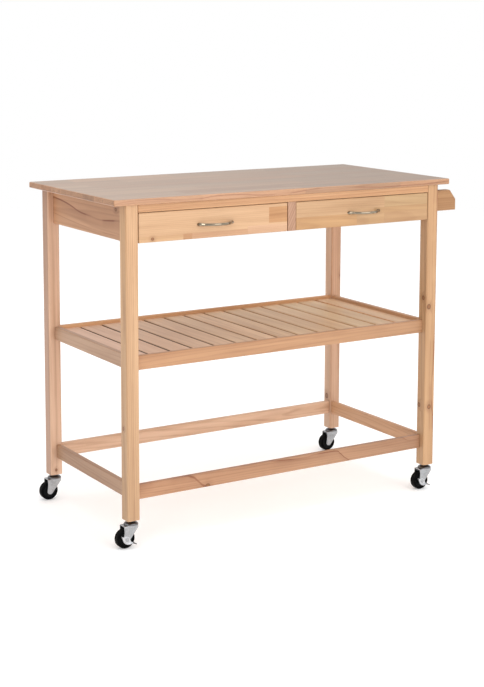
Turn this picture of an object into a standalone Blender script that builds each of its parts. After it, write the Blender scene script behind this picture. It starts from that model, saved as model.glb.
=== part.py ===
"""Kitchen island cart: worktop, two drawers, slatted shelf, towel bar, four swivel casters.

Metres, +Z up, +Y towards the back, -Y towards the drawer fronts. Z = 0 is the floor.
"""
import math

import bmesh
import bpy

# ---------------------------------------------------------------- driving dimensions
# worktop
HEIGHT = 0.880              # floor to the top of the worktop
TOP_THICK = 0.016
OVERHANG_END = 0.034        # worktop past the legs, left and right
OVERHANG_FRONT = 0.0065     # worktop past the legs, front and back
TOP_ROUND = 0.003

# frame
FRAME_LENGTH = 0.970        # over the outer faces of the legs
FRAME_DEPTH = 0.491
LEG_SIDE = 0.035
LEG_ROUND = 0.0045
SEAM = 0.0003               # gap left at every glued or screwed seam
RAIL_THICK = 0.014
RAIL_RECESS_FRONT = 0.0047  # inner leg face back to inner rail face, front and back
RAIL_RECESS_SIDE = 0.0033   # the same, left and right
EDGE_ROUND = 0.0015
APRON_HEIGHT = 0.095
TOP_RAIL_HEIGHT = 0.0193
FRONT_SETBACK = 0.001       # leg face to drawer face

# slatted shelf
SHELF_TOP = 0.485           # floor to the top of the shelf rails
SHELF_RAIL_HEIGHT = 0.036
SLAT_DROP = 0.009           # rail top to slat top
SLAT_THICK = 0.010
SLAT_COUNT = 14
SLAT_GAP = 0.009
LEDGE_WIDTH = 0.012         # ledge under the slat ends

# bottom stretchers
STRETCHER_TOP = 0.1557
STRETCHER_HEIGHT = 0.0375

# drawers
FRONT_THICK = 0.015
FRONT_GAP = 0.0015          # around each drawer front
PARTITION_THICK = 0.024
TRAY_GAP = 0.004            # each side of the tray in its opening
TRAY_WALL = 0.010
TRAY_TOP_GAP = 0.0102       # tray to the top rail's underside
TRAY_BACK_GAP = 0.0347      # tray to the back apron
TRAY_LIFT = 0.0005          # tray over its runners
PANEL_THICK = 0.004         # drawer bottom
PANEL_LIFT = 0.006          # underside of the tray to the panel groove
GROOVE_DEPTH = 0.004
RUNNER_HEIGHT = 0.008
RUNNER_WIDTH = 0.019

# handles
HANDLE_SPAN = 0.096         # between the feet
HANDLE_REACH = 0.029        # drawer face to the outside of the bow
HANDLE_FLAT = 0.0042        # bow section, outwards
HANDLE_TALL = 0.0068        # bow section, upwards
HANDLE_FOOT = 0.0062        # half length of a foot
HANDLE_FOOT_TALL = 0.0085
HANDLE_DROP = 0.002         # below the middle of the drawer front

# towel bar
BRACKET_REACH = 0.068
BRACKET_HEIGHT = 0.057
BRACKET_THICK = 0.020
BRACKET_DROP = 0.0175       # underside of the worktop to the bracket
BRACKET_CUT_X = 0.021       # sloping outer corner
BRACKET_CUT_Z = 0.027
BAR_RADIUS = 0.010
BAR_OUT = 0.044             # leg face to the bar's middle
BAR_RISE = 0.025            # underside of the bracket to the bar's middle
SOCKET_DEPTH = 0.010

# casters
WHEEL_RADIUS = 0.025
WHEEL_WIDTH = 0.020
TRAIL = 0.018               # swivel axis to axle
AXLE_RADIUS = 0.003
RUNNING_CLEAR = 0.0001      # wheel and lever on the axle
HUB_PROUD = 0.0012          # hub past the tyre's side
HUB_RADIUS = 0.0078
TYRE_RIM = 0.0072           # tyre's height over the dished side
CROWN_GAP = 0.0067          # wheel to the fork's crown
FORK_SHEET = 0.002
FORK_BEND = 0.003           # outer radius of the fork's shoulders
FORK_LIP = 0.0085           # round end of a fork leg
FORK_NOSE = 0.014           # fork leg ahead of the swivel axis
FORK_HEEL = 0.0066          # fork leg behind the axle
FORK_SHOULDER = 0.0067      # upright part of the fork's front edge
RACE_RADIUS = 0.0185
RACE_HEIGHT = 0.0063
CASTER_STACK = 0.012        # crown to the underside of the leg
KING_RADIUS = 0.004         # rivet through the crown
KING_HEAD = 0.0065
STEM_RADIUS = 0.0042
STEM_BORE = 0.0045
STEM_LENGTH = 0.030         # inside the leg
LEVER_THICK = 0.0015
LEVER_FLANGE = 0.0062
LEVER_CLEAR = 0.0003
RIVET_HEAD = 0.0052
RIVET_DOME = 0.0016

# ---------------------------------------------------------------- derived positions
HX, HY = FRAME_LENGTH / 2, FRAME_DEPTH / 2
INX, INY = HX - LEG_SIDE, HY - LEG_SIDE             # inner faces of the legs
LEG_X, LEG_Y = HX - LEG_SIDE / 2, HY - LEG_SIDE / 2
UNDER_TOP = HEIGHT - TOP_THICK
TOP_LENGTH = FRAME_LENGTH + 2 * OVERHANG_END
TOP_DEPTH = FRAME_DEPTH + 2 * OVERHANG_FRONT
RAIL_X0 = INX + RAIL_RECESS_SIDE
RAIL_X1 = RAIL_X0 + RAIL_THICK
RAIL_Y0 = INY + RAIL_RECESS_FRONT
RAIL_Y1 = RAIL_Y0 + RAIL_THICK
APRON_BOTTOM = UNDER_TOP - APRON_HEIGHT
FACE_Y = -HY + FRONT_SETBACK                        # drawer faces
FRONT_BACK_Y = FACE_Y + FRONT_THICK
RAIL_UNDER = UNDER_TOP - TOP_RAIL_HEIGHT
RUNNER_TOP = APRON_BOTTOM + RUNNER_HEIGHT
TRAY_BOTTOM = RUNNER_TOP + TRAY_LIFT
TRAY_TOP = RAIL_UNDER - TRAY_TOP_GAP
TRAY_END_Y = RAIL_Y0 - TRAY_BACK_GAP
HALF_PART = PARTITION_THICK / 2
BRACKET_TOP = UNDER_TOP - BRACKET_DROP
BRACKET_LOW = BRACKET_TOP - BRACKET_HEIGHT
BAR_X = HX + BAR_OUT
BAR_Z = BRACKET_LOW + BAR_RISE
HUB_HALF = WHEEL_WIDTH / 2 + HUB_PROUD
FORK_INNER = HUB_HALF + SEAM                        # swivel axis to the inside of a fork leg
FORK_OUTER = FORK_INNER + FORK_SHEET
FORK_TOP = 2 * WHEEL_RADIUS + CROWN_GAP + FORK_SHEET
CROWN_UNDER = FORK_TOP - FORK_SHEET
LEG_LIFT = FORK_TOP + CASTER_STACK

# the row's origin is the middle of the bounding box, on the floor
BOX_LOW_X, BOX_HIGH_X = -TOP_LENGTH / 2, max(TOP_LENGTH / 2, HX + SEAM + BRACKET_REACH)
BOX_LOW_Y, BOX_HIGH_Y = min(-TOP_DEPTH / 2, FACE_Y - HANDLE_REACH), TOP_DEPTH / 2
SHIFT = (-(BOX_LOW_X + BOX_HIGH_X) / 2, -(BOX_LOW_Y + BOX_HIGH_Y) / 2, 0.0)

for old in list(bpy.data.objects):
    bpy.data.objects.remove(old, do_unlink=True)


# ---------------------------------------------------------------- helpers
def material(name, colour, roughness, metallic=0.0):
    mat = bpy.data.materials.new(name)
    mat.use_nodes = True
    shader = mat.node_tree.nodes["Principled BSDF"]
    shader.inputs["Base Color"].default_value = (*colour, 1.0)
    shader.inputs["Roughness"].default_value = roughness
    shader.inputs["Metallic"].default_value = metallic
    return mat


WORKTOP = material("worktop_wood", (0.60, 0.40, 0.26), 0.38)
LEGS = material("leg_wood", (0.66, 0.40, 0.20), 0.45)
RAILS = material("rail_wood", (0.64, 0.37, 0.18), 0.45)
SLATS = material("slat_wood", (0.55, 0.36, 0.24), 0.50)
FRONTS = material("drawer_front_wood", (0.72, 0.47, 0.25), 0.42)
TRAYS = material("drawer_tray_wood", (0.64, 0.44, 0.24), 0.60)
CHROME = material("chrome", (0.80, 0.80, 0.80), 0.12, 1.0)
ZINC = material("zinc_plate", (0.60, 0.61, 0.62), 0.32, 1.0)
RUBBER = material("black_rubber", (0.008, 0.008, 0.009), 0.45)

WHERE = {}                                          # each empty's place in the cart


def empty(name, place, parent=None):
    """An empty at a place given in the cart's own coordinates."""
    obj = bpy.data.objects.new(name, None)
    obj.empty_display_size = 0.03
    bpy.context.scene.collection.objects.link(obj)
    if parent:
        obj.parent = parent
        obj.location = [p - q for p, q in zip(place, WHERE[parent.name])]
        WHERE[name] = place
    else:
        obj.location = SHIFT
        WHERE[name] = (0.0, 0.0, 0.0)
    return obj


CART = empty("cart", (0.0, 0.0, 0.0))


def add(name, bm, mat=None, origin=None, parent=CART):
    """Make an object of a shape given in the cart's coordinates; its origin is the middle of its
    box unless one is given, such as a point on the axis it turns about."""
    if origin is None:
        spans = [[v.co[i] for v in bm.verts] for i in range(3)]
        origin = [(min(s) + max(s)) / 2 for s in spans]
    bmesh.ops.recalc_face_normals(bm, faces=bm.faces)
    bmesh.ops.translate(bm, verts=bm.verts, vec=[-c for c in origin])
    mesh = bpy.data.meshes.new(name)
    bm.to_mesh(mesh)
    bm.free()
    obj = bpy.data.objects.new(name, mesh)
    bpy.context.scene.collection.objects.link(obj)
    obj.parent = parent
    obj.location = [p - q for p, q in zip(origin, WHERE[parent.name])]
    if mat:
        mesh.materials.append(mat)
    return obj


def rounded(bm, radius, segments=1, edges=None):
    if radius > 0:
        bmesh.ops.bevel(bm, geom=list(edges or bm.edges), offset=radius, segments=segments,
                        profile=0.5, affect="EDGES", clamp_overlap=True)
    return bm


def block(x, y, z, radius=0.0, segments=1, edges=None):
    """A box from pairs of limits; edges picks the ones that are rounded."""
    bm = bmesh.new()
    bmesh.ops.create_cube(bm, size=1.0)
    for v in bm.verts:
        v.co = ((x[0] + x[1]) / 2 + v.co.x * (x[1] - x[0]),
                (y[0] + y[1]) / 2 + v.co.y * (y[1] - y[0]),
                (z[0] + z[1]) / 2 + v.co.z * (z[1] - z[0]))
    return rounded(bm, radius, segments, [e for e in bm.edges if edges is None or edges(e)])


def upright(edge):
    a, b = edge.verts
    return abs(a.co.z - b.co.z) > 1e-6


def extruded(points, axis, low, high):
    """Extrude a closed outline along an axis. Outlines: X gives (y, z), Y (x, z), Z (x, y)."""
    place = {"X": lambda p, t: (t, p[0], p[1]),
             "Y": lambda p, t: (p[0], t, p[1]),
             "Z": lambda p, t: (p[0], p[1], t)}[axis]
    bm = bmesh.new()
    rows = [[bm.verts.new(place(p, t)) for p in points] for t in (low, high)]
    n = len(points)
    bm.faces.new(rows[0])
    bm.faces.new(rows[1])
    for i in range(n):
        j = (i + 1) % n
        bm.faces.new((rows[0][i], rows[0][j], rows[1][j], rows[1][i]))
    return bm


def lathed(profile, axis, centre, steps):
    """Turn a profile of (radius, height) about an axis; its ends may lie on the axis."""
    bm = bmesh.new()
    rings = []
    for r, h in profile:
        ring = []
        for i in range(steps if r > 0 else 1):
            a = 2 * math.pi * i / steps - math.pi / 2
            u, v = r * math.cos(a), r * math.sin(a)
            ring.append(bm.verts.new({"Y": (centre[0] + u, centre[1] + h, centre[2] + v),
                                      "Z": (centre[0] + u, centre[1] + v, centre[2] + h)}[axis]))
        rings.append(ring)
    pairs = list(zip(rings, rings[1:]))
    if profile[0][0] > 0 and profile[-1][0] > 0:
        pairs.append((rings[-1], rings[0]))
    for a, b in pairs:
        for i in range(steps):
            j = (i + 1) % steps
            quad = [a[i % len(a)], a[j % len(a)], b[j % len(b)], b[i % len(b)]]
            face = []
            for v in quad:
                if v not in face:
                    face.append(v)
            if len(face) > 2:
                bm.faces.new(face)
    return bm


def disc(radius, low, high, axis, centre, steps):
    return lathed([(0, low), (radius, low), (radius, high), (0, high)], axis, centre, steps)


def combine(target, operation, *tools):
    """Join, cut or keep the overlap of one solid with others, and drop the others."""
    for tool in tools:
        other = add("tool", tool)
        step = target.modifiers.new("step", "BOOLEAN")
        step.operation, step.solver, step.object = operation, "EXACT", other
        graph = bpy.context.evaluated_depsgraph_get()
        mesh = bpy.data.meshes.new_from_object(target.evaluated_get(graph))
        target.modifiers.clear()
        mesh.materials.clear()
        for mat in target.data.materials:
            mesh.materials.append(mat)
        for face in mesh.polygons:
            face.material_index = 0
        target.data = mesh
        bpy.data.objects.remove(other, do_unlink=True)
    return target


def arc(centre, radius, start, end, steps):
    return [(centre[0] + radius * math.cos(math.radians(start + (end - start) * i / steps)),
             centre[1] + radius * math.sin(math.radians(start + (end - start) * i / steps)))
            for i in range(steps + 1)]


# ---------------------------------------------------------------- worktop and legs
add("worktop", block((-TOP_LENGTH / 2, TOP_LENGTH / 2), (-TOP_DEPTH / 2, TOP_DEPTH / 2),
                     (UNDER_TOP, HEIGHT), TOP_ROUND, 3), WORKTOP)

CORNERS = {"front_left": (-1, -1), "front_right": (1, -1), "back_left": (-1, 1), "back_right": (1, 1)}
for corner, (sx, sy) in CORNERS.items():
    cx, cy = sx * LEG_X, sy * LEG_Y
    leg = add("leg_" + corner,
              block((cx - LEG_SIDE / 2, cx + LEG_SIDE / 2), (cy - LEG_SIDE / 2, cy + LEG_SIDE / 2),
                    (LEG_LIFT, UNDER_TOP - SEAM), LEG_ROUND, 3, upright), LEGS)
    combine(leg, "DIFFERENCE", disc(STEM_BORE, -0.01, STEM_LENGTH + 0.001, "Z",
                                    (cx, cy, LEG_LIFT), 20))

# ---------------------------------------------------------------- aprons and top rail
SPAN_X = (-INX + SEAM, INX - SEAM)
SPAN_Y = (-INY + SEAM, INY - SEAM)
for side, s in (("left", -1), ("right", 1)):
    # one piece with the drawer runner along its lower edge
    add("apron_" + side, extruded(
        [(s * RAIL_X1, APRON_BOTTOM), (s * RAIL_X1, UNDER_TOP - SEAM), (s * RAIL_X0, UNDER_TOP - SEAM),
         (s * RAIL_X0, RUNNER_TOP), (s * (RAIL_X0 - RUNNER_WIDTH), RUNNER_TOP),
         (s * (RAIL_X0 - RUNNER_WIDTH), APRON_BOTTOM)], "Y", *SPAN_Y), RAILS)
add("apron_back", block(SPAN_X, (RAIL_Y0, RAIL_Y1), (APRON_BOTTOM, UNDER_TOP - SEAM), EDGE_ROUND / 2),
    RAILS)
add("top_rail_front", block(SPAN_X, (FACE_Y, FRONT_BACK_Y), (RAIL_UNDER, UNDER_TOP - SEAM), EDGE_ROUND / 2),
    RAILS)

# partition between the drawers, notched under the top rail, with a runner at each side
partition = add("drawer_partition", extruded(
    [(FACE_Y, APRON_BOTTOM), (RAIL_Y0 - SEAM, APRON_BOTTOM), (RAIL_Y0 - SEAM, UNDER_TOP - SEAM),
     (FRONT_BACK_Y + SEAM, UNDER_TOP - SEAM), (FRONT_BACK_Y + SEAM, RAIL_UNDER - SEAM),
     (FACE_Y, RAIL_UNDER - SEAM)], "X", -HALF_PART, HALF_PART), RAILS)
combine(partition, "UNION", block((-HALF_PART - RUNNER_WIDTH, HALF_PART + RUNNER_WIDTH),
                                  (FRONT_BACK_Y + 0.003, RAIL_Y0 - SEAM - 0.001),
                                  (APRON_BOTTOM + 0.0002, RUNNER_TOP)))

# ---------------------------------------------------------------- slatted shelf
SLAT_TOP = SHELF_TOP - SLAT_DROP
SLAT_LOW = SLAT_TOP - SLAT_THICK
RAIL_LOW = SHELF_TOP - SHELF_RAIL_HEIGHT
for side, s in (("front", -1), ("back", 1)):
    # one piece with the ledge that carries the slats
    outline = [(s * RAIL_Y1, RAIL_LOW + EDGE_ROUND), (s * RAIL_Y1, SHELF_TOP - EDGE_ROUND),
               (s * (RAIL_Y1 - EDGE_ROUND), SHELF_TOP), (s * (RAIL_Y0 + EDGE_ROUND), SHELF_TOP),
               (s * RAIL_Y0, SHELF_TOP - EDGE_ROUND), (s * RAIL_Y0, SLAT_LOW - SEAM),
               (s * (RAIL_Y0 - LEDGE_WIDTH), SLAT_LOW - SEAM), (s * (RAIL_Y0 - LEDGE_WIDTH), RAIL_LOW),
               (s * (RAIL_Y1 - EDGE_ROUND), RAIL_LOW)]
    add("shelf_rail_" + side, extruded(outline, "X", *SPAN_X), RAILS)
for side, s in (("left", -1), ("right", 1)):
    add("shelf_rail_" + side, block(sorted((s * RAIL_X0, s * RAIL_X1)), SPAN_Y, (RAIL_LOW, SHELF_TOP),
                                    EDGE_ROUND), RAILS)

FIELD = 2 * (RAIL_X0 - SEAM)
SLAT_WIDTH = (FIELD - (SLAT_COUNT - 1) * SLAT_GAP) / SLAT_COUNT
SLAT_END = RAIL_Y0 - SEAM
for i in range(SLAT_COUNT):
    x0 = -FIELD / 2 + i * (SLAT_WIDTH + SLAT_GAP)
    x1 = x0 + SLAT_WIDTH
    name = "slat_%02d" % (i + 1)
    if i in (0, SLAT_COUNT - 1):
        # the end slats are notched around the legs
        out, cut, inner = (x0, -INX + SEAM, x1) if i == 0 else (x1, INX - SEAM, x0)
        outline = [(out, -INY + SEAM), (cut, -INY + SEAM), (cut, -SLAT_END), (inner, -SLAT_END),
                   (inner, SLAT_END), (cut, SLAT_END), (cut, INY - SEAM), (out, INY - SEAM)]
        add(name, extruded(outline, "Z", SLAT_LOW, SLAT_TOP), SLATS)
    else:
        add(name, block((x0, x1), (-SLAT_END, SLAT_END), (SLAT_LOW, SLAT_TOP), EDGE_ROUND, 1,
                        lambda e: abs(e.verts[0].co.y - e.verts[1].co.y) > 0.1), SLATS)

# ---------------------------------------------------------------- bottom stretchers
LOW_Z = (STRETCHER_TOP - STRETCHER_HEIGHT, STRETCHER_TOP)
for side, s in (("front", -1), ("back", 1)):
    add("stretcher_" + side, block(SPAN_X, sorted((s * RAIL_Y0, s * RAIL_Y1)), LOW_Z, EDGE_ROUND), RAILS)
for side, s in (("left", -1), ("right", 1)):
    add("stretcher_" + side, block(sorted((s * RAIL_X0, s * RAIL_X1)), SPAN_Y, LOW_Z, EDGE_ROUND), RAILS)


# ---------------------------------------------------------------- drawers
def bow(cx):
    """Bow handle: an arched bar with a foot at each end, swept as one skin."""
    half, rise = HANDLE_SPAN / 2, HANDLE_REACH - HANDLE_FLAT / 2
    radius = (half * half + rise * rise) / (2 * rise)
    face = FACE_Y - SEAM
    mid_z = (APRON_BOTTOM + RAIL_UNDER) / 2 - HANDLE_DROP
    limit = math.asin(half / radius)
    stations = [(-half, 0.0, HANDLE_FOOT, HANDLE_FOOT_TALL)]
    count = 14
    for k in range(count + 1):
        a = -limit + 2 * limit * k / count
        blend = abs(a) / limit
        x, out = radius * math.sin(a), radius * math.cos(a) - (radius - rise)
        stations.append((x, max(out, HANDLE_FLAT), None,
                         HANDLE_TALL + (HANDLE_FOOT_TALL - HANDLE_TALL) * blend ** 4))
    stations.append((half, 0.0, HANDLE_FOOT, HANDLE_FOOT_TALL))
    bm = bmesh.new()
    rings = []
    sides = 10
    n = len(stations)
    for k, (x, out, foot, tall) in enumerate(stations):
        if foot:                                    # flat on the drawer face
            ax, ay = 1.0, 0.0
            wide = foot
        else:                                       # square to the bow
            a = -limit + 2 * limit * (k - 1) / count
            ax, ay = math.sin(a), -math.cos(a)
            wide = HANDLE_FLAT / 2 * (1 + 0.35 * (abs(a) / limit) ** 4)
        ring = []
        for i in range(sides):
            t = 2 * math.pi * i / sides
            u, v = wide * math.cos(t), tall / 2 * math.sin(t)
            if foot:
                sign = -1 if k else 1
                ring.append(bm.verts.new((cx + x + sign * -u, face, mid_z + v)))
            else:
                ring.append(bm.verts.new((cx + x + u * ax, face - out + u * ay, mid_z + v)))
        rings.append(ring)
    bm.faces.new(rings[0])
    bm.faces.new(rings[-1])
    for a, b in zip(rings, rings[1:]):
        for i in range(sides):
            j = (i + 1) % sides
            bm.faces.new((a[i], a[j], b[j], b[i]))
    return bm


FRONT_Z = (APRON_BOTTOM, RAIL_UNDER - FRONT_GAP)
for side, s in (("left", -1), ("right", 1)):
    outer, inner = s * (INX - FRONT_GAP), s * (HALF_PART + FRONT_GAP)
    tray_out, tray_in = s * (INX - TRAY_GAP), s * (HALF_PART + TRAY_GAP)
    low, high = sorted((tray_out, tray_in))
    drawer = empty("drawer_" + side, ((low + high) / 2, FACE_Y, TRAY_BOTTOM), CART)
    panel_x = (low + TRAY_WALL - GROOVE_DEPTH, high - TRAY_WALL + GROOVE_DEPTH)
    panel_y = (FRONT_BACK_Y - GROOVE_DEPTH, TRAY_END_Y - TRAY_WALL + GROOVE_DEPTH)
    panel_z = (TRAY_BOTTOM + PANEL_LIFT, TRAY_BOTTOM + PANEL_LIFT + PANEL_THICK + 2 * SEAM)

    front = add("drawer_%s_front" % side, block(sorted((outer, inner)), (FACE_Y, FRONT_BACK_Y), FRONT_Z,
                                                EDGE_ROUND), FRONTS, parent=drawer)
    combine(front, "DIFFERENCE", block(panel_x, (panel_y[0], FRONT_BACK_Y + 0.01), panel_z))

    y0, y1 = FRONT_BACK_Y + SEAM, TRAY_END_Y
    tray = add("drawer_%s_tray" % side, extruded(
        [(low, y0), (low, y1), (high, y1), (high, y0), (high - TRAY_WALL, y0),
         (high - TRAY_WALL, y1 - TRAY_WALL), (low + TRAY_WALL, y1 - TRAY_WALL), (low + TRAY_WALL, y0)],
        "Z", TRAY_BOTTOM, TRAY_TOP), TRAYS, parent=drawer)
    combine(tray, "DIFFERENCE", block(panel_x, (y0 - 0.02, panel_y[1]), panel_z))

    add("drawer_%s_bottom" % side, block((panel_x[0] + SEAM, panel_x[1] - SEAM),
                                         (panel_y[0] + SEAM, panel_y[1] - SEAM),
                                         (panel_z[0] + SEAM, panel_z[1] - SEAM)), TRAYS, parent=drawer)
    add("drawer_%s_handle" % side, bow((outer + inner) / 2), CHROME, parent=drawer)

# ---------------------------------------------------------------- towel bar
BRACKET_X0, BRACKET_X1 = HX + SEAM, HX + SEAM + BRACKET_REACH
for side, s in (("front", -1), ("back", 1)):
    y0, y1 = sorted((s * (LEG_Y - BRACKET_THICK / 2), s * (LEG_Y + BRACKET_THICK / 2)))
    bm = extruded([(BRACKET_X0, BRACKET_LOW), (BRACKET_X1, BRACKET_LOW),
                   (BRACKET_X1, BRACKET_TOP - BRACKET_CUT_Z), (BRACKET_X1 - BRACKET_CUT_X, BRACKET_TOP),
                   (BRACKET_X0, BRACKET_TOP)], "Y", y0, y1)
    bracket = add("towel_bracket_" + side, rounded(bm, EDGE_ROUND), RAILS)
    mouth = s * (LEG_Y - BRACKET_THICK / 2)
    reach = sorted((-s * 0.01, s * (SOCKET_DEPTH + SEAM)))
    combine(bracket, "DIFFERENCE", disc(BAR_RADIUS + SEAM, reach[0], reach[1], "Y",
                                        (BAR_X, mouth, BAR_Z), 24))
BAR_END = LEG_Y - BRACKET_THICK / 2 + SOCKET_DEPTH
add("towel_bar", lathed([(0, -BAR_END), (BAR_RADIUS - 0.001, -BAR_END), (BAR_RADIUS, -BAR_END + 0.001),
                         (BAR_RADIUS, BAR_END - 0.001), (BAR_RADIUS - 0.001, BAR_END), (0, BAR_END)],
                        "Y", (BAR_X, 0, BAR_Z), 24), RAILS)


# ---------------------------------------------------------------- casters
def tangent(point, centre, radius):
    """Angle, in degrees, at which the line from a point meets a circle on its +X side."""
    dx, dz = point[0] - centre[0], point[1] - centre[1]
    return math.degrees(math.atan2(dz, dx) - math.acos(radius / math.hypot(dx, dz)))


def fork(name, cx, cy, braked, parent):
    """Bent-sheet fork with its riveted axle, which is longer where it carries a brake lever."""
    axle = (cx - TRAIL, WHEEL_RADIUS)
    shoulder = (cx + FORK_NOSE, FORK_TOP - FORK_SHOULDER)
    side = ([(cx + FORK_NOSE, FORK_TOP), shoulder]
            + arc(axle, FORK_LIP, tangent(shoulder, axle, FORK_LIP), -190, 12)
            + [(axle[0] - FORK_HEEL, (WHEEL_RADIUS + FORK_TOP) / 2), (axle[0] - FORK_HEEL, FORK_TOP)])
    inner_bend = FORK_BEND - FORK_SHEET
    hoop = ([(cy - FORK_OUTER, 0.0)]
            + arc((cy - FORK_OUTER + FORK_BEND, FORK_TOP - FORK_BEND), FORK_BEND, 180, 90, 4)
            + arc((cy + FORK_OUTER - FORK_BEND, FORK_TOP - FORK_BEND), FORK_BEND, 90, 0, 4)
            + [(cy + FORK_OUTER, 0.0), (cy + FORK_INNER, 0.0)]
            + [(cy + FORK_INNER, CROWN_UNDER - inner_bend), (cy + FORK_INNER - inner_bend, CROWN_UNDER)]
            + [(cy - FORK_INNER + inner_bend, CROWN_UNDER), (cy - FORK_INNER, CROWN_UNDER - inner_bend)]
            + [(cy - FORK_INNER, 0.0)])
    reach = TRAIL + WHEEL_RADIUS
    body = add(name, extruded(hoop, "X", cx - reach, cx + reach), ZINC, (cx, cy, FORK_TOP), parent)
    combine(body, "INTERSECT", extruded(side, "Y", cy - reach, cy + reach))
    combine(body, "UNION", disc(RACE_RADIUS, -FORK_SHEET, 0.0, "Z", (cx, cy, FORK_TOP), 28))
    combine(body, "DIFFERENCE", disc(KING_RADIUS + SEAM + 0.0002, -3 * FORK_SHEET, 3 * FORK_SHEET, "Z",
                                     (cx, cy, FORK_TOP), 20))
    near = FORK_OUTER + (2 * LEVER_CLEAR + LEVER_THICK if braked else 0.0)
    far = FORK_OUTER - 0.0002
    rivet = lathed([(0, -near - RIVET_DOME), (RIVET_HEAD * 0.7, -near - RIVET_DOME),
                    (RIVET_HEAD, -near - RIVET_DOME * 0.4), (RIVET_HEAD, -near), (AXLE_RADIUS, -near),
                    (AXLE_RADIUS, far), (RIVET_HEAD, far), (RIVET_HEAD, far + RIVET_DOME * 0.4),
                    (RIVET_HEAD * 0.7, far + RIVET_DOME), (0, far + RIVET_DOME)],
                   "Y", (axle[0], cy, axle[1]), 24)
    return combine(body, "UNION", rivet)


def wheel(name, cx, cy, parent):
    r, w = WHEEL_RADIUS, WHEEL_WIDTH / 2
    bore = AXLE_RADIUS + RUNNING_CLEAR
    half = [(r, w * 0.65), (r - 0.0012, w * 0.88), (r - 0.0035, w), (r - TYRE_RIM + 0.0012, w),
            (r - TYRE_RIM, w - 0.002), (HUB_RADIUS, w - 0.002), (HUB_RADIUS - 0.001, HUB_HALF),
            (bore, HUB_HALF)]
    profile = half + [(a, -h) for a, h in reversed(half)]
    at = (cx - TRAIL, cy, r)
    return add(name, lathed(profile, "Y", at, 32), RUBBER, at, parent)


def stem(name, cx, cy, parent):
    """Stem, collar, upper ball race and the king rivet that carries the fork, as one turned piece."""
    top, seat, collar = LEG_LIFT + STEM_LENGTH, LEG_LIFT - SEAM, 0.0030
    profile = [(0, top), (STEM_RADIUS - 0.0008, top), (STEM_RADIUS, top - 0.0008), (STEM_RADIUS, seat),
               (0.0080, seat), (0.0080, LEG_LIFT - collar), (0.0055, LEG_LIFT - collar),
               (0.0060, FORK_TOP + RACE_HEIGHT * 1.08), (RACE_RADIUS * 0.57, FORK_TOP + RACE_HEIGHT),
               (RACE_RADIUS * 0.865, FORK_TOP + RACE_HEIGHT * 0.65),
               (RACE_RADIUS, FORK_TOP + RACE_HEIGHT * 0.28), (RACE_RADIUS, FORK_TOP + SEAM),
               (KING_RADIUS, FORK_TOP + SEAM), (KING_RADIUS, CROWN_UNDER - 0.0005),
               (KING_HEAD, CROWN_UNDER - 0.0005), (KING_HEAD, CROWN_UNDER - 0.0022),
               (KING_HEAD - 0.0015, CROWN_UNDER - 0.0030), (0, CROWN_UNDER - 0.0030)]
    return add(name, lathed(profile, "Z", (cx, cy, 0.0), 28), ZINC, (cx, cy, LEG_LIFT), parent)


def lever(name, cx, cy, parent):
    """Side brake lever: a cranked plate on the axle with a flange along its lower edge."""
    ax, az = cx - TRAIL, WHEEL_RADIUS
    low = [(-0.0170, 0.0090), (-0.0145, 0.0020), (-0.0115, -0.0045), (-0.0070, -0.0090), (-0.0015, -0.0113),
           (0.0050, -0.0118), (0.0110, -0.0115), (0.0175, -0.0123), (0.0245, -0.0150)]
    high = [(0.0250, -0.0133), (0.0180, -0.0098), (0.0115, -0.0080), (0.0085, -0.0020), (0.0065, 0.0040),
            (0.0000, 0.0078), (-0.0070, 0.0072), (-0.0110, 0.0075), (-0.0150, 0.0100)]
    edge = []
    for k, (x, z) in enumerate(low):
        px, pz = low[max(k - 1, 0)]
        qx, qz = low[min(k + 1, len(low) - 1)]
        length = math.hypot(qx - px, qz - pz)
        edge.append((x - (qz - pz) / length * LEVER_THICK, z + (qx - px) / length * LEVER_THICK))
    near = cy - FORK_OUTER - LEVER_CLEAR
    far = near - LEVER_THICK

    def placed(points):
        return [(ax + x, az + z) for x, z in points]

    body = add(name, extruded(placed(low + high), "Y", far, near), ZINC, (ax, cy, az), parent)
    combine(body, "UNION", extruded(placed(low + edge[::-1]), "Y", near - LEVER_FLANGE, near - 0.0001))
    return combine(body, "DIFFERENCE", disc(AXLE_RADIUS + RUNNING_CLEAR, -2 * FORK_OUTER, 0.0, "Y",
                                            (ax, cy, az), 24))


for corner, (sx, sy) in CORNERS.items():
    cx, cy = sx * LEG_X, sy * LEG_Y
    swivel = empty("swivel_" + corner, (cx, cy, 0.0), CART)     # on the swivel axis
    stem("caster_%s_stem" % corner, cx, cy, CART)
    fork("caster_%s_fork" % corner, cx, cy, sy < 0, swivel)
    wheel("caster_%s_wheel" % corner, cx, cy, swivel)
    if sy < 0:
        lever("caster_%s_lever" % corner, cx, cy, swivel)

for obj in bpy.data.objects:
    if obj.type == "MESH":
        obj.data.shade_smooth()
        obj.data.set_sharp_from_angle(angle=math.radians(32))
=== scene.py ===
import math
import random

import bmesh
import bpy
from mathutils import Matrix, Vector


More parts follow.
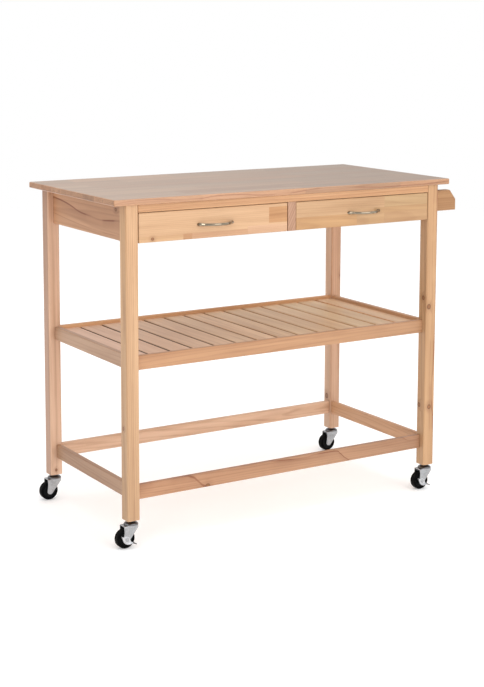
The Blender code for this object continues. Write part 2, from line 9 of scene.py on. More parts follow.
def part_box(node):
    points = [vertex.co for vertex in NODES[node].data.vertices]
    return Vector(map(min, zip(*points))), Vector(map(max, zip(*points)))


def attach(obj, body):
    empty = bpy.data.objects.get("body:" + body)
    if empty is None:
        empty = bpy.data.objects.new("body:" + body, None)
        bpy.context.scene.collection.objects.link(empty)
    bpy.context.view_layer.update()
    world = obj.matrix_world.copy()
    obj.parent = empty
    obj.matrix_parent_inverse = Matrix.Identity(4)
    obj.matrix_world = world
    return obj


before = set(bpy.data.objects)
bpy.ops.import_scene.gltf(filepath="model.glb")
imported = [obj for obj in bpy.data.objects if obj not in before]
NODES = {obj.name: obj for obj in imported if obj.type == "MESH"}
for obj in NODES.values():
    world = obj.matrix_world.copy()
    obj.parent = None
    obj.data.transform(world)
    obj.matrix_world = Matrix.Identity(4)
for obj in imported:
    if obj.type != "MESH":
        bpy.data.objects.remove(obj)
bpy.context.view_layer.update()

SCENE = bpy.context.scene


# ---------------------------------------------------------------- shader helpers
class Tree:
    """A material's node tree, with short ways to add nodes to it."""

    def __init__(self, name):
        self.mat = bpy.data.materials.new(name)
        self.mat.use_nodes = True
        self.tree = self.mat.node_tree
        self.bsdf = self.tree.nodes["Principled BSDF"]

    def node(self, kind, links=None, **settings):
        n = self.tree.nodes.new(kind)
        for key, value in settings.items():
            setattr(n, key, value)
        for key, value in (links or {}).items():
            self.put(n.inputs[key], value)
        return n

    def put(self, socket, value):
        if isinstance(value, bpy.types.NodeSocket):
            self.tree.links.new(value, socket)
        else:
            socket.default_value = value

    def math(self, op, a, b=0.0, c=0.0, clamp=False):
        return self.node("ShaderNodeMath", {0: a, 1: b, 2: c},
                         operation=op, use_clamp=clamp).outputs[0]

    def vmath(self, op, a, b=(0, 0, 0), out=0):
        return self.node("ShaderNodeVectorMath", {0: a, 1: b}, operation=op).outputs[out]

    def xyz(self, x, y, z):
        return self.node("ShaderNodeCombineXYZ", {0: x, 1: y, 2: z}).outputs[0]

    def split(self, vector):
        return self.node("ShaderNodeSeparateXYZ", {0: vector}).outputs

    def coords(self, output="Object"):
        return self.node("ShaderNodeTexCoord").outputs[output]

    def noise(self, vector, scale=1.0, detail=2.0, rough=0.5, distort=0.0, out="Fac"):
        return self.node("ShaderNodeTexNoise",
                         {"Vector": vector, "Scale": scale, "Detail": detail,
                          "Roughness": rough, "Distortion": distort}).outputs[out]

    def ramp(self, value, *stops):
        """Map a value smoothly through stops of (position, grey)."""
        n = self.node("ShaderNodeValToRGB", {0: value})
        ramp = n.color_ramp
        ramp.interpolation = "EASE"
        while len(ramp.elements) < len(stops):
            ramp.elements.new(0.5)
        for e, (pos, grey) in zip(ramp.elements, stops):
            e.position = pos
            e.color = (grey, grey, grey, 1)
        return n.outputs[0]

    def span(self, value, low, high, to_low=0.0, to_high=1.0):
        return self.node("ShaderNodeMapRange", {0: value, 1: low, 2: high, 3: to_low, 4: to_high},
                         interpolation_type="SMOOTHSTEP").outputs[0]

    def span_linear(self, value, low, high, to_low=0.0, to_high=1.0):
        return self.node("ShaderNodeMapRange",
                         {0: value, 1: low, 2: high, 3: to_low, 4: to_high}).outputs[0]

    def mix(self, factor, a, b, blend="MIX"):
        n = self.node("ShaderNodeMix", data_type="RGBA", blend_type=blend)
        for i, v in ((0, factor), (6, a), (7, b)):
            self.put(n.inputs[i], (*v, 1) if isinstance(v, tuple) and len(v) == 3 else v)
        return n.outputs[2]

    def bump(self, height, strength, distance):
        return self.node("ShaderNodeBump", {"Height": height, "Strength": strength,
                                            "Distance": distance}).outputs[0]

    def finish(self, **values):
        for key, value in values.items():
            if isinstance(value, tuple) and len(value) == 3:
                value = (*value, 1)
            self.put(self.bsdf.inputs[key.replace("_", " ")], value)
        return self.mat


def edges_of(t, low, high, width):
    """1 along the edges of a board's box, 0 away from them."""
    p = t.split(t.coords())
    near = []
    for i in range(3):
        a = t.math("SUBTRACT", p[i], low[i])
        b = t.math("SUBTRACT", high[i], p[i])
        near.append(t.math("MINIMUM", a, b))
    small = t.math("MINIMUM", near[0], near[1])
    large = t.math("MAXIMUM", near[0], near[1])
    second = t.math("MAXIMUM", small, t.math("MINIMUM", large, near[2]))
    return t.span(second, width, 0.0)


PALE = 1.10           # early wood, times a board's tone
FINGER = 0.006        # width of one finger of a finger joint
FINGER_DEPTH = 0.010  # how far the fingers reach along the board
GLUE_END = 0.0009     # half width of a glue line across the grain
GLUE_SIDE = 0.0006    # and along it
RUBBED = 0.0022       # width of the rubbed edges


def wood(node, grain, tone, seed, deep=0.50, stave=None, block=0.0, vary=0.10, rings=0.45,
         spread=7.0, pitch=0.0045, lean=0.012, rough=0.44, coat=0.10, end=0.72, blotch=0.0,
         tilt=0.0, knots=(), veins=(), patches=(), fade=(1.0, 1.0), shaded_sides=None):
    """Softwood under clear lacquer, in a colour around tone.

    grain is the axis it runs along. stave is the axis and width of its glued-up pieces, block their
    length and vary how much their colours differ. deep is how dark the late wood is, rings how
    strongly it shows, pitch how far apart the rings are, spread how wavy, lean how much they run
    out of the board and tilt how far they are turned. end is the darkness of the end grain, blotch
    of cloudy stains. knots are (x, y, z, radius). veins are dark grain lines, each (axis, width,
    strength, points) where the points are (along the grain, across it) as fractions of the board.
    patches are glued-in pieces of another colour, each (from, to, low, high, colour) in the same
    fractions, on the board's wide face. fade is how light it is at either end. shaded_sides is
    (axis, factors) for the faces that look along that axis: painted shade and light on them."""
    rnd = random.Random(seed)
    low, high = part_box(node)
    light = tuple(min(0.92, c * PALE) for c in tone)
    mid = (tone[0] * 0.93, tone[1] * 0.88, tone[2] * 0.83)
    dark = (tone[0] * deep * 1.10, tone[1] * deep * 0.82, tone[2] * deep * 0.66)
    t = Tree("wood_" + node)
    p = t.split(t.coords())
    order = {"X": (0, 1, 2), "Y": (1, 0, 2), "Z": (2, 0, 1)}[grain]
    u, v, w = (p[i] for i in order)
    unit = {"u": t.span_linear(u, low[order[0]], high[order[0]]),
            "v": t.span_linear(v, low[order[1]], high[order[1]]),
            "w": t.span_linear(w, low[order[2]], high[order[2]])}
    if tilt:
        c, s = math.cos(tilt), math.sin(tilt)
        u, w = (t.math("ADD", t.math("MULTIPLY", u, c), t.math("MULTIPLY", w, s)),
                t.math("SUBTRACT", t.math("MULTIPLY", w, c), t.math("MULTIPLY", u, s)))

    # glued-up pieces: random numbers for each, and a thin line where they meet
    line = pick = None
    if block:
        across, other = (v, w) if stave[0] == "v" else (w, v)
        rows = t.math("ADD", t.math("DIVIDE", across, stave[1]), rnd.random() * 9)
        row = t.math("FLOOR", rows)
        shift = t.node("ShaderNodeTexWhiteNoise", {"W": t.math("ADD", row, seed * 1.7)},
                       noise_dimensions="1D").outputs[0]
        finger = t.math("PINGPONG", t.math("DIVIDE", other, FINGER), 0.5)
        runs = t.math("ADD", t.math("DIVIDE", u, block), t.math("MULTIPLY", shift, 7.0))
        runs = t.math("ADD", runs, t.math("MULTIPLY", finger, FINGER_DEPTH / block))
        cell = t.node("ShaderNodeTexWhiteNoise",
                      {"Vector": t.xyz(row, t.math("FLOOR", runs), seed * 0.37)},
                      noise_dimensions="3D")
        pick = t.split(cell.outputs["Color"])
        line = t.math("MAXIMUM", t.span(t.math("PINGPONG", runs, 0.5), GLUE_END / block, 0.0),
                      t.span(t.math("PINGPONG", rows, 0.5), GLUE_SIDE / stave[1], 0.0))
        vo, wo = (t.math("MULTIPLY", t.math("SUBTRACT", pick[i], 0.5), 0.16)
                  for i in (0, 1))
        uo = t.math("MULTIPLY", pick[2], 6.0)
    else:
        vo, wo, uo = 0.0, 0.0, 0.0
    glued = []
    for k, (u0, u1, s0, s1, colour) in enumerate(patches):
        side = unit["w"]
        jag = t.math("MULTIPLY", t.math("PINGPONG", t.math("DIVIDE", v, FINGER), 0.5), 0.012)
        at = t.math("ADD", unit["u"], jag)
        m = t.math("MULTIPLY", t.span(at, u0 - 0.001, u0 + 0.001),
                   t.span(at, u1 + 0.001, u1 - 0.001))
        m = t.math("MULTIPLY", m, t.math("MULTIPLY", t.span(side, s0 - 0.006, s0 + 0.006),
                                         t.span(side, s1 + 0.006, s1 - 0.006)))
        glued.append((m, colour))
        vo = t.math("ADD", vo, t.math("MULTIPLY", m, 0.021 * (k + 1)))
        uo = t.math("ADD", uo, t.math("MULTIPLY", m, 1.37 * (k + 1)))

    # knots bend the grain around them
    mask = halo = heart = None
    for kx, ky, kz, kr in knots:
        k = [(kx, ky, kz)[i] for i in order]
        d = t.vmath("LENGTH", t.xyz(t.math("MULTIPLY", t.math("SUBTRACT", u, k[0]), 0.85 / kr),
                                    t.math("DIVIDE", t.math("SUBTRACT", v, k[1]), kr),
                                    t.math("DIVIDE", t.math("SUBTRACT", w, k[2]), kr)), out=1)
        core, ring, middle = t.span(d, 1.25, 0.85), t.span(d, 3.8, 0.7), t.span(d, 0.85, 0.45)
        heart = middle if heart is None else t.math("MAXIMUM", heart, middle)
        mask = core if mask is None else t.math("MAXIMUM", mask, core)
        halo = ring if halo is None else t.math("MAXIMUM", halo, ring)

    # growth rings about a pith that lies outside the board and leans a little along it
    mid_v, mid_w = ((low[order[i]] + high[order[i]]) / 2 for i in (1, 2))
    angle = rnd.random() * math.tau
    away = 0.045 + 0.05 * rnd.random()
    pv = t.math("ADD", t.math("SUBTRACT", v, mid_v + away * math.cos(angle)), vo)
    pw = t.math("ADD", t.math("SUBTRACT", w, mid_w + away * math.sin(angle)), wo)
    pu = t.math("ADD", t.math("ADD", u, rnd.random() * 5), uo)
    pv = t.math("ADD", pv, t.math("MULTIPLY", u, lean))
    if halo is not None:
        pv = t.math("ADD", pv, t.math("MULTIPLY", halo, 0.007))
    rings_at = t.xyz(t.math("MULTIPLY", pu, 0.055), pv, pw)
    ring = t.node("ShaderNodeTexWave", {"Vector": rings_at, "Scale": 0.314 / pitch,
                                        "Distortion": spread, "Detail": 2.0,
                                        "Detail Scale": 0.55, "Detail Roughness": 0.55},
                  wave_type="RINGS", rings_direction="X", wave_profile="SAW").outputs["Fac"]
    late = t.ramp(ring, (0.0, 0.05), (0.50, 0.18), (0.86, 1.0), (0.97, 0.55))
    fibre_at = t.xyz(t.math("MULTIPLY", pu, 9.0), t.math("MULTIPLY", pv, 620.0),
                     t.math("MULTIPLY", pw, 620.0))
    fibre = t.noise(fibre_at, 1.0, 3.0, 0.6)
    broad_at = t.xyz(t.math("MULTIPLY", pu, 1.6), t.math("MULTIPLY", pv, 42.0),
                     t.math("MULTIPLY", pw, 42.0))
    broad = t.noise(broad_at, 1.0, 3.0, 0.55, 0.4)
    pores = t.span(t.noise(t.vmath("MULTIPLY", fibre_at, (0.6, 1.7, 1.7)), 1.0, 1.0, 0.5),
                   0.70, 0.82)

    colour = t.mix(t.span(broad, 0.32, 0.68), light, mid)
    colour = t.mix(t.math("MULTIPLY", late, t.span(broad, 0.25, 0.75, 0.35 * rings, rings)),
                   colour, dark)
    colour = t.mix(t.math("MULTIPLY", t.math("SUBTRACT", fibre, 0.35, clamp=True), 0.45),
                   colour, mid)
    colour = t.mix(t.math("MULTIPLY", pores, 0.22), colour, dark)
    if blotch:
        cloud = t.noise(t.xyz(t.math("MULTIPLY", pu, 5.0), t.math("MULTIPLY", pv, 18.0),
                              t.math("MULTIPLY", pw, 18.0)), 1.0, 2.0, 0.5)
        colour = t.mix(t.math("MULTIPLY", t.span(cloud, 0.48, 0.70), blotch), colour, dark)
    if block:
        shade = t.span_linear(pick[0], 0.0, 1.0, 1.0 - vary, 1.0 + vary * 0.5)
        rosy = t.span_linear(pick[1], 0.0, 1.0, 1.0 - vary * 0.8, 1.0 + vary * 0.3)
        tint = t.xyz(shade, t.math("MULTIPLY", shade, rosy),
                     t.math("MULTIPLY", shade, t.math("MULTIPLY", rosy, rosy)))
        colour = t.mix(1.0, colour, tint, "MULTIPLY")
        colour = t.mix(t.math("MULTIPLY", line, 0.30), colour, dark)
    for m, other in glued:
        ratio = tuple(a / b for a, b in zip(other, tone))
        colour = t.mix(m, colour, t.mix(1.0, colour, ratio, "MULTIPLY"))
        rim = t.math("MULTIPLY", m, t.math("SUBTRACT", 1.0, m))
        colour = t.mix(rim, colour, dark)
    for axis, width, force, points in veins:
        curve = t.node("ShaderNodeFloatCurve", {"Factor": 1.0, "Value": unit["u"]})
        path = curve.mapping.curves[0]
        while len(path.points) < len(points):
            path.points.new(0.5, 0.5)
        for point, (x, y) in zip(path.points, points):
            point.location = (x, (y + 0.1) / 1.2)
        curve.mapping.update()
        at = t.math("SUBTRACT", t.math("MULTIPLY", curve.outputs[0], 1.2), 0.1)
        broken = t.noise(t.xyz(t.math("MULTIPLY", u, 11.0), seed * 0.7, 0.0), 1.0, 2.0, 0.5)
        force = t.span(broken, 0.36, 0.56, force * 0.35, force)
        i = order["uvw".index(axis)]
        size = high[i] - low[i]
        sway = t.math("MULTIPLY", t.math("SUBTRACT", broad, 0.5), 0.05)
        off = t.math("SUBTRACT", t.math("SUBTRACT", unit[axis], at), sway)
        thin = t.span(t.math("ABSOLUTE", off), width / size, width / size * 0.15)
        shade = t.math("MULTIPLY", t.span(off, -8.0 * width / size, 0.0),
                       t.span(off, 0.002, 0.0))
        colour = t.mix(t.math("MULTIPLY", shade, t.math("MULTIPLY", force, 0.32)), colour, dark)
        colour = t.mix(t.math("MULTIPLY", thin, force), colour,
                       (dark[0] * 0.85, dark[1] * 0.62, dark[2] * 0.5))
    if mask is not None:
        colour = t.mix(t.math("MULTIPLY", halo, 0.42), colour, dark)
        bark = t.mix(t.math("MULTIPLY", heart, t.span(broad, 0.3, 0.6, 0.35, 1.0)),
                     (0.13, 0.040, 0.010), (0.36, 0.145, 0.045))
        colour = t.mix(t.math("MULTIPLY", mask, 0.88), colour, bark)

    if fade != (1.0, 1.0):
        run = t.span_linear(unit["u"], 0.0, 1.0, *fade)
        colour = t.mix(1.0, colour, t.xyz(run, run, run), "MULTIPLY")
    # painted shade and light: the faces that look along one axis get their colour multiplied by the
    # given factors
    if shaded_sides:
        looks = t.split(t.coords("Normal"))["XYZ".index(shaded_sides[0])]
        side_shade = t.span(t.math("ABSOLUTE", looks), 0.75, 0.95)
        colour = t.mix(side_shade, colour, t.mix(1.0, colour, shaded_sides[1], "MULTIPLY"))

    # end grain is darker, rubbed edges are lighter and drier
    facing = t.math("ABSOLUTE", t.split(t.coords("Normal"))[order[0]])
    ends = t.span(facing, 0.75, 0.95)
    speck = t.noise(t.vmath("MULTIPLY", t.coords(), (900, 900, 900)), 1.0, 2.0, 0.6)
    speck = t.span(speck, 0.3, 0.7, end * 0.82, end * 1.08)
    if block:
        speck = t.math("MULTIPLY", speck, t.span_linear(pick[2], 0.0, 1.0, 0.70, 1.10))
        stain = t.noise(t.vmath("MULTIPLY", t.coords(), (0, 75, 160)), 1.0, 2.0, 0.6)
        speck = t.math("MULTIPLY", speck, t.span(stain, 0.58, 0.70, 1.0, 0.62))
    sawn = t.xyz(speck, t.math("MULTIPLY", speck, 0.93), t.math("MULTIPLY", speck, 0.85))
    colour = t.mix(ends, colour, t.mix(1.0, colour, sawn, "MULTIPLY"))
    rub = t.noise(t.vmath("MULTIPLY", t.coords(), (60, 60, 60)), 1.0, 3.0, 0.6)
    edge = t.math("MULTIPLY", edges_of(t, low, high, RUBBED), t.span(rub, 0.35, 0.72))
    colour = t.mix(t.math("MULTIPLY", edge, 0.40), colour,
                   tuple(min(0.95, c * 1.12 + 0.02) for c in light))
    gloss = t.math("ADD", t.math("MULTIPLY", fibre, 0.10), rough - 0.05)
    gloss = t.math("ADD", gloss, t.math("MULTIPLY", ends, 0.18))
    gloss = t.math("ADD", gloss, t.math("MULTIPLY", edge, 0.12), clamp=True)
    height = t.math("ADD", t.math("MULTIPLY", late, 0.5), t.math("MULTIPLY", fibre, 0.5))
    height = t.math("SUBTRACT", height, t.math("MULTIPLY", pores, 0.35))
    if line is not None:
        height = t.math("SUBTRACT", height, t.math("MULTIPLY", line, 0.8))
    return t.finish(Base_Color=colour, Roughness=gloss, Normal=t.bump(height, 0.22, 0.0004),
                    Coat_Weight=coat, Coat_Roughness=0.28, Specular_IOR_Level=0.45)


def metal(name, colour, rough, brushed=0.0, spots=0.0, smears=0.14, lines=(30, 30, 30),
          relief=0.10, tip=None):
    """Plated steel: faint smears, fine scratches and a slightly duller skin in patches.

    tip is (x, colour) for a paint-dipped end beyond x."""
    t = Tree(name)
    at = t.coords()
    smear = t.noise(at, 46.0, 4.0, 0.55, 0.6)
    fine = t.noise(t.vmath("MULTIPLY", at, lines), 26.0, 3.0, 0.6)
    base = t.mix(t.span(smear, 0.35, 0.72), colour, tuple(c * (1 - smears) for c in colour))
    base = t.mix(t.math("MULTIPLY", t.span(fine, 0.42, 0.66), smears * 1.5, clamp=True), base,
                 tuple(c * 0.55 for c in colour))
    if spots:
        cells = t.node("ShaderNodeTexVoronoi", {"Vector": at, "Scale": 340.0, "Randomness": 1.0},
                       feature="F1").outputs["Color"]
        base = t.mix(t.math("MULTIPLY", t.split(cells)[0], spots), base,
                     tuple(min(1, c * 1.3) for c in colour))
    if tip:
        base = t.mix(t.span(t.split(at)[0], tip[0] - 0.001, tip[0] + 0.001), base, tip[1])
    r = t.math("ADD", t.math("MULTIPLY", smear, 0.14), rough - 0.06)
    r = t.math("ADD", r, t.math("MULTIPLY", fine, brushed), clamp=True)
    height = t.math("ADD", smear, t.math("MULTIPLY", fine, 0.5))
    return t.finish(Base_Color=base, Metallic=1.0, Roughness=r,
                    Normal=t.bump(height, relief, 0.0003))


HUB_EDGE = (0.0182, 0.0172)    # radii over which the tyre gives way to the grey hub
TREAD_EDGE = (0.0236, 0.0249)  # and the side to the scuffed tread
HUB_RIBS = 8.0


def rubber(name, node):
    """Caster wheel: moulded tread, dished side with a faint grey hub and mould marks."""
    t = Tree(name)
    low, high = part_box(node)
    c = (low + high) / 2
    p = t.split(t.coords())
    dx, dz = t.math("SUBTRACT", p[0], c[0]), t.math("SUBTRACT", p[2], c[2])
    radius = t.vmath("LENGTH", t.xyz(dx, 0.0, dz), out=1)
    dy = t.math("ABSOLUTE", t.math("SUBTRACT", p[1], c[1]))
    grit = t.noise(t.coords(), 900.0, 3.0, 0.6)
    dust = t.noise(t.coords(), 70.0, 4.0, 0.6)
    hub = t.span(radius, *HUB_EDGE)
    colour = t.mix(hub, (0.0025, 0.0025, 0.0028), (0.008, 0.0085, 0.009))
    scuff = t.math("MULTIPLY", t.span(radius, *TREAD_EDGE), t.span(dust, 0.40, 0.68))
    colour = t.mix(t.math("MULTIPLY", scuff, 0.40), colour, (0.034, 0.032, 0.030))
    colour = t.mix(t.math("MULTIPLY", t.span(dust, 0.5, 0.8), 0.25), colour, (0.016, 0.0155, 0.015))
    seam = t.span(dy, 0.0005, 0.0002)
    turn = t.math("MULTIPLY", t.math("ARCTAN2", dz, dx), HUB_RIBS / math.tau)
    rib = t.math("PINGPONG", turn, 0.5)
    ribs = t.math("MULTIPLY", t.span(rib, 0.045, 0.02),
                  t.math("MULTIPLY", hub, t.span(radius, 0.008, 0.0095)))
    height = t.math("ADD", t.math("MULTIPLY", grit, 0.4), t.math("ADD", seam, ribs))
    rough = t.math("ADD", t.math("MULTIPLY", dust, 0.22), t.math("MULTIPLY", scuff, 0.2))
    rough = t.math("ADD", rough, t.span(hub, 0.0, 1.0, 0.36, 0.26), clamp=True)
    return t.finish(Base_Color=colour, Roughness=rough, Normal=t.bump(height, 0.35, 0.0003),
                    Specular_IOR_Level=0.03)


def dress(node, mat):
    slots = NODES[node].data.materials
    slots.clear()
    slots.append(mat)


# ---------------------------------------------------------------- wood
PINE = (0.66, 0.40, 0.22)
# the worktop's top and underside are darkened and greyed by painted sheen and shade, and the board
# darkens towards its right end by painted shade
dress("worktop", wood("worktop", "X", (0.585, 0.324, 0.181), 11, stave=("v", 0.063), block=0.31,
                      rings=0.40, vary=0.12, rough=0.38, coat=0.62, end=0.84, fade=(1.0, 0.76),
                      shaded_sides=("Z", (0.76, 0.85, 0.895)),
                      veins=[("w", 0.0022, 0.55, ((0, 0.2), (0.10, 0.75), (0.2, 0.35), (0.3, 0.7),
                                                  (0.45, 0.25), (0.6, 0.8), (0.8, 0.3),
                                                  (1, 0.6)))]))

# each leg's tone, how light it is at its foot and top, and factors for its left and right faces,
# which paint shade on some legs and light on others
LEGS = {"front_left": ((0.595, 0.37, 0.208), (0.84, 1.10), (0.95, 0.95, 0.92)),
        "front_right": ((0.545, 0.325, 0.168), (0.94, 1.04), (0.92, 0.95, 1.0)),
        "back_left": ((0.69, 0.455, 0.315), (0.94, 1.04), (0.67, 0.61, 0.60)),
        "back_right": ((0.70, 0.435, 0.285), (0.74, 1.05), (1.12, 1.22, 1.30))}
for k, (corner, (tone, fade, faces)) in enumerate(LEGS.items()):
    lo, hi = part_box("leg_" + corner)
    left, right, front = lo[0], hi[0], lo[1]
    knots, veins = {
        "front_left": ([(left, front + 0.020, 0.305, 0.0040)],
                       [("v", 0.0014, 0.40, ((0, 0.55), (0.4, 0.50), (0.7, 0.56), (1, 0.50)))]),
        "front_right": ([(left + 0.0093, front, 0.524, 0.0062),
                         (left, front + 0.014, 0.548, 0.0052),
                         (left + 0.0161, front, 0.238, 0.0055),
                         (left, front + 0.0246, 0.241, 0.0055)],
                        [("v", 0.0026, 0.85, ((0, 0.95), (0.07, 0.94), (0.16, 0.88), (0.27, 0.66),
                                              (0.36, 0.80), (0.6, 0.90), (0.79, 0.96),
                                              (0.91, 0.90), (1, 0.95))),
                         ("v", 0.0014, 0.45, ((0, 0.62), (0.4, 0.50), (0.58, 0.62), (0.75, 0.55),
                                              (1, 0.60)))]),
        "back_left": ([(left + 0.016, front, 0.084, 0.0034)],
                      [("v", 0.0012, 0.30, ((0, 0.48), (0.5, 0.54), (1, 0.48)))]),
        "back_right": ([(left, front + 0.019, 0.170, 0.0068),
                        (right - 0.0015, front, 0.545, 0.0040)],
                       [("v", 0.0030, 0.90, ((0, 1.04), (0.45, 1.02), (0.53, 0.93), (0.60, 0.92),
                                             (0.72, 0.97), (0.8, 1.05), (1, 1.05)))]),
    }[corner]
    name = "leg_" + corner
    dress(name, wood(name, "Z", tone, 22 + k, rings=0.50, spread=5.0, pitch=0.0052,
                     knots=knots, veins=veins, fade=fade, shaded_sides=("X", faces)))

# aprons, top rail and partition
# the left apron darkens towards its front end by painted shade under the worktop, and the dark knot
# at its top by the front leg is a painted shadow
lo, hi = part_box("apron_left")
dress("apron_left", wood("apron_left", "Y", (0.57, 0.315, 0.18), 34, rings=0.42, spread=9.0,
                         pitch=0.0075, deep=0.44, coat=0.05, fade=(0.90, 1.06),
                         knots=[(lo[0], lo[1] + 0.052, 0.8445, 0.0045)],
                         veins=[("w", 0.0034, 0.95, ((0, 0.53), (0.08, 0.51), (0.2, 0.46),
                                                     (0.333, 0.42), (0.47, 0.46), (0.61, 0.50),
                                                     (0.75, 0.63), (0.854, 0.70), (1, 0.76))),
                                ("w", 0.0018, 0.35, ((0, 0.14), (0.3, 0.10), (0.6, 0.16),
                                                     (1, 0.30)))]))
dress("apron_right", wood("apron_right", "Y", PINE, 35, pitch=0.006))
dress("apron_back", wood("apron_back", "X", PINE, 36, stave=("w", 0.048), block=0.34,
                         vary=0.12))
dress("top_rail_front", wood("top_rail_front", "X", (0.62, 0.35, 0.18), 41, rings=0.45, spread=3.0,
                             veins=[("w", 0.0015, 0.35, ((0, 0.2), (0.4, 0.5), (0.6, 0.35),
                                                         (1, 0.6)))]))
dress("drawer_partition", wood("drawer_partition", "X", (0.46, 0.265, 0.170), 43, rings=0.80,
                               spread=2.0, pitch=0.0058, tilt=1.12, end=1.0, rough=0.55,
                               deep=0.45))

# drawers: each front is glued up from a few wide pieces, given as patches on its main tone
FRONTS = {
    "left": ((0.625, 0.392, 0.223), 51, [
        (-0.01, 0.288, -0.02, 0.20, (0.60, 0.369, 0.199)),
        (0.288, 0.345, -0.02, 0.20, (0.47, 0.248, 0.120)),
        (0.345, 0.721, -0.02, 0.20, (0.545, 0.312, 0.176)),
        (0.721, 1.02, -0.02, 0.29, (0.62, 0.380, 0.233)),
        (0.870, 1.02, 0.35, 0.895, (0.50, 0.26, 0.115))]),
    "right": ((0.535, 0.332, 0.181), 58, [
        (-0.01, 0.45, -0.02, 0.44, (0.54, 0.314, 0.148)),
        (0.45, 0.66, -0.02, 0.40, (0.517, 0.318, 0.164)),
        (0.58, 1.02, 0.40, 0.60, (0.47, 0.280, 0.136)),
        (0.66, 1.02, 0.60, 1.02, (0.51, 0.334, 0.176)),
        (0.66, 1.02, -0.02, 0.40, (0.497, 0.300, 0.156))]),
}
for side, (tone, seed, patches) in FRONTS.items():
    name = "drawer_%s_" % side
    lo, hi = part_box(name + "front")
    knots = []
    if side == "left":
        knots = [(lo[0] + 0.087 * (hi[0] - lo[0]), lo[1], lo[2] + 0.0082, 0.0036)]
    dress(name + "front", wood(name + "front", "X", tone, seed, rings=0.30, rough=0.40,
                               lean=0.03, knots=knots, patches=patches))
    dress(name + "tray", wood(name + "tray", "Y", (0.68, 0.47, 0.28), seed + 5,
                              rings=0.4, rough=0.60, coat=0.0))
    dress(name + "bottom", wood(name + "bottom", "X", (0.70, 0.53, 0.34), seed + 9,
                                rings=0.5, spread=14.0, pitch=0.012, rough=0.62, coat=0.0))

# shelf
RAILS = {"front": (0.53, 0.29, 0.152), "back": (0.66, 0.385, 0.205),
         "left": (0.455, 0.282, 0.180), "right": (0.56, 0.34, 0.20)}
for k, (side, tone) in enumerate(RAILS.items()):
    name = "shelf_rail_" + side
    dress(name, wood(name, "X" if side in ("front", "back") else "Y", tone, 70 + k, rings=0.45,
                     spread=6.0, blotch=0.22, fade=(1.0, 0.83) if side == "front" else (1.0, 1.0)))
SLATS = 14
lo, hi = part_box("shelf_rail_front")
for i in range(SLATS):
    name = "slat_%02d" % (i + 1)
    rnd = random.Random(800 + i)
    k, pink = 0.94 + 0.10 * rnd.random(), rnd.random()
    # towards the right the slats are tanner; their side faces carry painted shade, deep at the left
    # and fading to the right, so the gaps between them look dark
    reach = (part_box(name)[0][0] - lo[0]) / (hi[0] - lo[0])
    tan = min(1.0, 2.0 * reach)
    tone = (0.70 * k, (0.455 + 0.025 * pink + 0.040 * tan) * k,
            (0.32 + 0.04 * pink * (1 - reach)) * k)
    side_shade = tuple(c * (0.13 + 0.80 * reach) for c in (1.0, 0.86, 0.74))
    dress(name, wood(name, "Y", tone, 80 + i, rings=0.40, spread=6.0 + 6 * rnd.random(),
                     pitch=0.004 + 0.003 * rnd.random(), rough=0.46, blotch=0.12,
                     shaded_sides=("X", side_shade)))

# stretchers
STRETCH = {"front": (0.47, 0.255, 0.142), "back": (0.65, 0.43, 0.295),
           "left": (0.385, 0.226, 0.134), "right": (0.56, 0.33, 0.19)}
FIGURE = {"front": [("w", 0.0050, 1.0, ((0, 1.1), (0.14, 1.1), (0.173, 0.93), (0.196, 0.53),
                                        (0.219, 0.09), (0.245, -0.1), (1, -0.1))),
                    ("w", 0.0026, 0.9, ((0, 1.1), (0.42, 1.1), (0.458, 0.97), (0.493, 0.91),
                                        (0.564, 0.83), (0.6, 0.92), (0.674, 0.92), (0.692, 0.70),
                                        (0.718, 0.21), (0.755, -0.1), (1, -0.1))),
                    ("w", 0.0020, 0.9, ((0, 1.1), (0.91, 1.1), (0.935, 0.98), (0.967, 0.70),
                                        (1, 0.78)))]}
for k, (side, tone) in enumerate(STRETCH.items()):
    name = "stretcher_" + side
    lo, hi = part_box(name)
    knots = [(lo[0] + 0.205, lo[1], lo[2] + 0.003, 0.0055)] if side == "front" else []
    dress(name, wood(name, "X" if side in ("front", "back") else "Y", tone, 90 + k, rings=0.50,
                     spread=12.0, pitch=0.0065, blotch=0.18, lean=0.03,
                     fade=(1.05, 0.79) if side == "front" else (1.0, 1.0),
                     knots=knots, veins=FIGURE.get(side, ())))

# towel bar
for k, side in enumerate(("front", "back")):
    name = "towel_bracket_" + side
    dress(name, wood(name, "X", (0.39, 0.205, 0.09), 95 + k, rings=0.30, spread=4.0, pitch=0.006))
dress("towel_bar", wood("towel_bar", "Y", PINE, 98, pitch=0.004))

# ---------------------------------------------------------------- metal and rubber
# the chrome is darkened and tinted warm brown as a painted reflection of the wood and dim studio
# around it; real chrome is neutral
CHROME = metal("chrome_plate", (0.30, 0.245, 0.18), 0.05)
ZINC = metal("zinc_plate", (0.45, 0.46, 0.475), 0.24, brushed=0.16, spots=0.40, smears=0.30,
             lines=(16, 16, 2), relief=0.45)
# the stems are a darker grey than the plating: painted shade of the recess under each leg where
# they sit
RACE = metal("ball_race", (0.24, 0.24, 0.25), 0.24, brushed=0.10, smears=0.35, relief=0.3)
LEVER_TIP = 0.009  # length of a brake lever's dark end
for name in NODES:
    if name.endswith("_handle"):
        dress(name, CHROME)
    elif name.endswith("_stem"):
        dress(name, RACE)
    elif name.endswith("_fork"):
        dress(name, ZINC)
    elif name.endswith("_lever"):
        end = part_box(name)[1][0]
        dress(name, metal("zinc_" + name, (0.62, 0.63, 0.65), 0.24, brushed=0.10, spots=0.3,
                          smears=0.2, relief=0.25, tip=(end - LEVER_TIP, (0.09, 0.09, 0.10))))
    elif name.endswith("_wheel"):
        dress(name, rubber("rubber_" + name, name))


